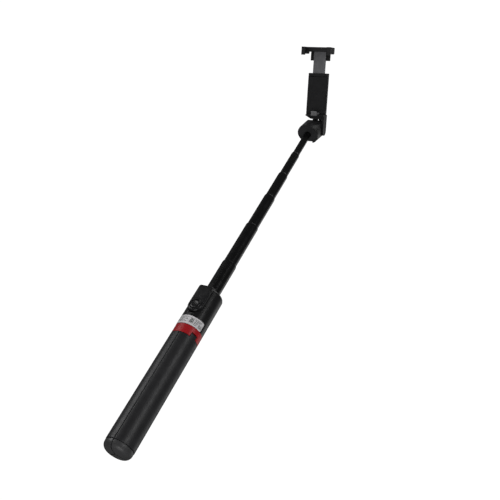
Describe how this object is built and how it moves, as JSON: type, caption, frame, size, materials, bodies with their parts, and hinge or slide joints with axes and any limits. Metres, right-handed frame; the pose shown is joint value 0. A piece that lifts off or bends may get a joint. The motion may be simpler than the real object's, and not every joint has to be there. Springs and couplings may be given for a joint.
{
  "type": "selfie stick",
  "caption": "Telescopic selfie stick: tripod-leg handle with red collar, grip housing with remote, slim mast, swivel head and tilting sprung phone clamp.",
  "frame": {"origin": "centre of the closed legs' end face, on the stick's axis", "axes": "+Z along the stick towards the phone clamp, -Y to the front, which the remote and the phone face, +X along the clamp's tilt pin"},
  "size_m": [0.0384, 0.0971, 0.545],
  "materials": {
    "black_plastic": "satin moulded, fine spark texture",
    "leg_plastic": "satin moulded, soft sheen",
    "gloss_black": "smooth semi-gloss",
    "red_plastic": "semi-gloss deep red",
    "black_tube": "black anodised tube, satin gloss",
    "steel": "bright zinc",
    "sleeve_metal": "mill finish",
    "foot_rubber": "matt rubber",
    "pad_rubber": "soft pad",
    "label_film": null,
    "bush_plastic": "low-friction white plastic",
    "board_green": "circuit board",
    "gold_dome": "spring dome",
    "light_clear": "clear light pipe",
    "washer_plastic": "nylon"
  },
  "bodies": {
    "handle": {"collar": "red_plastic", "hub_core": "black_plastic", "hub_screws": "steel", "leg_pins": "steel", "guide_sleeve": "sleeve_metal", "sleeve_plug": "black_plastic", "grip_housing": "gloss_black", "top_ring": "black_plastic", "label": "label_film"},
    "remote": {"remote_cover": "gloss_black", "remote_back": "gloss_black", "remote_board": "board_green", "coin_cell": "steel", "switch_dome": "gold_dome", "status_light": "light_clear"},
    "button": {"shutter_button": "gloss_black"},
    "head": {"head_body": "black_plastic", "head_base": "leg_plastic", "tilt_pin": "steel", "tilt_nut": "steel", "tilt_washer": "washer_plastic"},
    "clamp": {"clamp_bracket": "black_plastic", "clamp_cover": "black_plastic", "lower_pad": "pad_rubber", "cover_screws": "steel", "clamp_springs": "steel"},
    "jaw": {"jaw_slider": "sleeve_metal", "upper_jaw": "black_plastic", "upper_pads": "pad_rubber", "jaw_screws": "steel"},
    "leg_1": {"leg_shell_1": "leg_plastic", "leg_liner_1": "black_plastic", "foot_cap_1": "foot_rubber"},
    "leg_2": {"leg_shell_2": "leg_plastic", "leg_liner_2": "black_plastic", "foot_cap_2": "foot_rubber"},
    "leg_3": {"leg_shell_3": "leg_plastic", "leg_liner_3": "black_plastic", "foot_cap_3": "foot_rubber"},
    "mast_1": {"tube_1": "black_tube", "bush_1": "bush_plastic"},
    "mast_2": {"tube_2": "black_tube", "bush_2": "bush_plastic"},
    "mast_3": {"tube_3": "black_tube", "bush_3": "bush_plastic"},
    "mast_4": {"tube_4": "black_tube", "bush_4": "bush_plastic"},
    "mast_5": {"tube_5": "black_tube", "bush_5": "bush_plastic"},
    "mast_6": {"tube_6": "black_tube", "bush_6": "bush_plastic", "swivel_stud": "steel", "swivel_nut": "steel"}
  },
  "joints": [
    {"name": "leg_1_hinge", "type": "hinge", "parent": "handle", "child": "leg_1", "pos_m": [0.01091, -0.0063, 0.1309], "axis": [-0.5, -0.866, 0], "range_deg": [0, 65]},
    {"name": "leg_2_hinge", "type": "hinge", "parent": "handle", "child": "leg_2", "pos_m": [-0.01091, -0.0063, 0.1309], "axis": [-0.5, 0.866, 0], "range_deg": [0, 65]},
    {"name": "leg_3_hinge", "type": "hinge", "parent": "handle", "child": "leg_3", "pos_m": [0, 0.0126, 0.1309], "axis": [1, 0, 0], "range_deg": [0, 65]},
    {"name": "mast_1_slide", "type": "slide", "parent": "handle", "child": "mast_1", "axis": [0, 0, 1], "range_m": [-0.0424, 0.0416]},
    {"name": "mast_2_slide", "type": "slide", "parent": "mast_1", "child": "mast_2", "axis": [0, 0, 1], "range_m": [-0.0573, 0.0267]},
    {"name": "mast_3_slide", "type": "slide", "parent": "mast_2", "child": "mast_3", "axis": [0, 0, 1], "range_m": [-0.0478, 0.0362]},
    {"name": "mast_4_slide", "type": "slide", "parent": "mast_3", "child": "mast_4", "axis": [0, 0, 1], "range_m": [-0.0387, 0.0453]},
    {"name": "mast_5_slide", "type": "slide", "parent": "mast_4", "child": "mast_5", "axis": [0, 0, 1], "range_m": [-0.0378, 0.0462]},
    {"name": "mast_6_slide", "type": "slide", "parent": "mast_5", "child": "mast_6", "axis": [0, 0, 1], "range_m": [-0.0395, 0.0445]},
    {"name": "head_swivel", "type": "hinge", "parent": "mast_6", "child": "head", "pos_m": [0, 0, 0.4637], "axis": [0, 0, 1], "continuous": true},
    {"name": "clamp_tilt", "type": "hinge", "parent": "head", "child": "clamp", "pos_m": [0, 0.0085, 0.4828], "axis": [1, 0, 0], "range_deg": [-140, 8]},
    {"name": "jaw_slide", "type": "slide", "parent": "clamp", "child": "jaw", "axis": [0, -0.829, 0.5592], "range_m": [-0.014, 0.016], "stiffness_N_per_m": 300, "deforming": ["clamp_springs"]},
    {"name": "remote_pull", "type": "slide", "parent": "handle", "child": "remote", "axis": [0, -1, 0], "range_m": [0, 0.03]},
    {"name": "shutter_press", "type": "slide", "parent": "remote", "child": "button", "axis": [0, 1, 0], "range_m": [0, 0.0003], "stiffness_N_per_m": 800}
  ]
}
